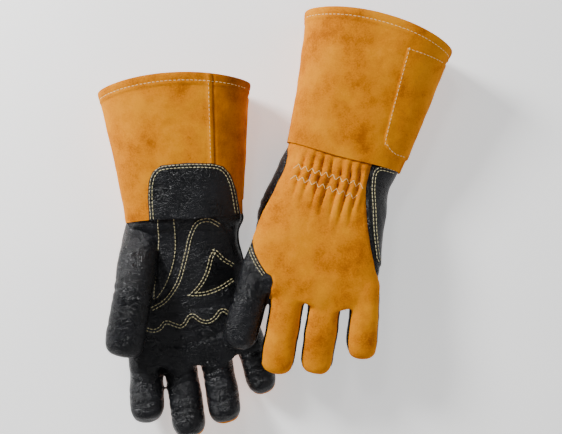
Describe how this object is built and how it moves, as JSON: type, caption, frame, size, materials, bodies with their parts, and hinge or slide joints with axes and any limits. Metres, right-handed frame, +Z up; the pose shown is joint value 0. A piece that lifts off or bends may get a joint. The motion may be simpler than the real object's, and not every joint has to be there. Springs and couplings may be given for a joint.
{
  "type": "welding gloves",
  "caption": "Pair of long gauntlet welding gloves with split leather cuffs and backs, grain leather palms, reinforced patches, gathered wrists and flexing finger stalls.",
  "frame": {"origin": "middle of the pair seen from above, on the surface the gloves lie on", "axes": "+Z up from that surface, +Y from the fingertips towards the cuffs, +X from the right glove towards the left glove"},
  "size_m": [0.3444, 0.4192, 0.0854],
  "materials": {
    "gold_split_leather": "napped split cowhide",
    "black_grain_leather": "pebbled grain goatskin, soft sheen",
    "knit_lining": "fleece knit",
    "elastic_tape": "woven elastic"
  },
  "bodies": {
    "right_hand": {"right_cuff_palm_panel": "gold_split_leather", "right_cuff_gusset": "gold_split_leather", "right_cuff_back_panel": "gold_split_leather", "right_cuff_patch": "gold_split_leather", "right_wrist_patch": "black_grain_leather", "right_palm_panel": "black_grain_leather", "right_back_panel": "gold_split_leather", "right_thumb_base": "black_grain_leather", "right_palm_patch": "black_grain_leather", "right_edge_patch": "black_grain_leather", "right_thumb_strap": "black_grain_leather", "right_wrist_elastic": "elastic_tape", "right_lining": "knit_lining"},
    "right_index": {"right_index_wrap": "black_grain_leather", "right_index_back": "black_grain_leather"},
    "right_middle": {"right_middle_palm_side": "black_grain_leather", "right_middle_back": "gold_split_leather", "right_middle_side_strip": "black_grain_leather"},
    "right_ring": {"right_ring_palm_side": "black_grain_leather", "right_ring_back": "gold_split_leather", "right_ring_side_strip": "black_grain_leather"},
    "right_little": {"right_little_palm_side": "black_grain_leather", "right_little_back": "gold_split_leather", "right_little_side_strip": "black_grain_leather"},
    "right_thumb": {"right_thumb_inner_side": "black_grain_leather", "right_thumb_outer_side": "black_grain_leather"},
    "left_hand": {"left_cuff_palm_panel": "gold_split_leather", "left_cuff_gusset": "gold_split_leather", "left_cuff_back_panel": "gold_split_leather", "left_cuff_patch": "gold_split_leather", "left_wrist_patch": "black_grain_leather", "left_palm_panel": "black_grain_leather", "left_back_panel": "gold_split_leather", "left_thumb_base": "black_grain_leather", "left_palm_patch": "black_grain_leather", "left_edge_patch": "black_grain_leather", "left_thumb_strap": "black_grain_leather", "left_wrist_elastic": "elastic_tape", "left_lining": "knit_lining"},
    "left_index": {"left_index_wrap": "black_grain_leather", "left_index_back": "black_grain_leather"},
    "left_middle": {"left_middle_palm_side": "black_grain_leather", "left_middle_back": "gold_split_leather", "left_middle_side_strip": "black_grain_leather"},
    "left_ring": {"left_ring_palm_side": "black_grain_leather", "left_ring_back": "gold_split_leather", "left_ring_side_strip": "black_grain_leather"},
    "left_little": {"left_little_palm_side": "black_grain_leather", "left_little_back": "gold_split_leather", "left_little_side_strip": "black_grain_leather"},
    "left_thumb": {"left_thumb_inner_side": "black_grain_leather", "left_thumb_outer_side": "black_grain_leather"}
  },
  "joints": [
    {"name": "left_glove_lift", "type": "slide", "parent": "right_hand", "child": "left_hand", "axis": [0, 0, 1], "range_m": [0, 0.15]},
    {"name": "right_index_curl", "type": "hinge", "parent": "right_hand", "child": "right_index", "pos_m": [-0.12848, -0.1482, 0.019], "axis": [-0.9972, -0.075, 0], "range_deg": [-19, 50], "stiffness_Nm_per_rad": 0.12, "deforming": ["right_lining"]},
    {"name": "right_middle_curl", "type": "hinge", "parent": "right_hand", "child": "right_middle", "pos_m": [-0.09248, -0.1495, 0.019], "axis": [-0.9839, -0.1788, 0], "range_deg": [-17, 50], "stiffness_Nm_per_rad": 0.12},
    {"name": "right_ring_curl", "type": "hinge", "parent": "right_hand", "child": "right_ring", "pos_m": [-0.05604, -0.14475, 0.019], "axis": [-0.9806, -0.1959, 0], "range_deg": [-17, 50], "stiffness_Nm_per_rad": 0.12},
    {"name": "right_little_curl", "type": "hinge", "parent": "right_hand", "child": "right_little", "pos_m": [-0.02096, -0.12707, 0.019], "axis": [-0.9521, -0.3057, 0], "range_deg": [-5, 1], "stiffness_Nm_per_rad": 0.12},
    {"name": "right_thumb_swing", "type": "hinge", "parent": "right_hand", "child": "right_thumb", "pos_m": [-0.13707, -0.06059, 0.0589], "axis": [0, 0, 1], "range_deg": [-25, 28], "stiffness_Nm_per_rad": 0.12},
    {"name": "left_index_curl", "type": "hinge", "parent": "left_hand", "child": "left_index", "pos_m": [-0.02294, -0.06664, 0.057], "axis": [0.9636, -0.2672, 0], "range_deg": [-30, 1], "stiffness_Nm_per_rad": 0.12, "deforming": ["left_lining"]},
    {"name": "left_middle_curl", "type": "hinge", "parent": "left_hand", "child": "left_middle", "pos_m": [0.01049, -0.08006, 0.057], "axis": [0.9863, -0.165, 0], "range_deg": [-30, 1], "stiffness_Nm_per_rad": 0.12},
    {"name": "left_ring_curl", "type": "hinge", "parent": "left_hand", "child": "left_ring", "pos_m": [0.04639, -0.08794, 0.057], "axis": [0.989, -0.1478, 0], "range_deg": [-20, 50], "stiffness_Nm_per_rad": 0.12},
    {"name": "left_little_curl", "type": "hinge", "parent": "left_hand", "child": "left_little", "pos_m": [0.08538, -0.08319, 0.057], "axis": [0.9994, -0.0349, 0], "range_deg": [-20, 50], "stiffness_Nm_per_rad": 0.12},
    {"name": "left_thumb_swing", "type": "hinge", "parent": "left_hand", "child": "left_thumb", "pos_m": [0.00154, 0.01789, 0.0135], "axis": [0, 0, 1], "range_deg": [0, 30], "stiffness_Nm_per_rad": 0.12}
  ]
}
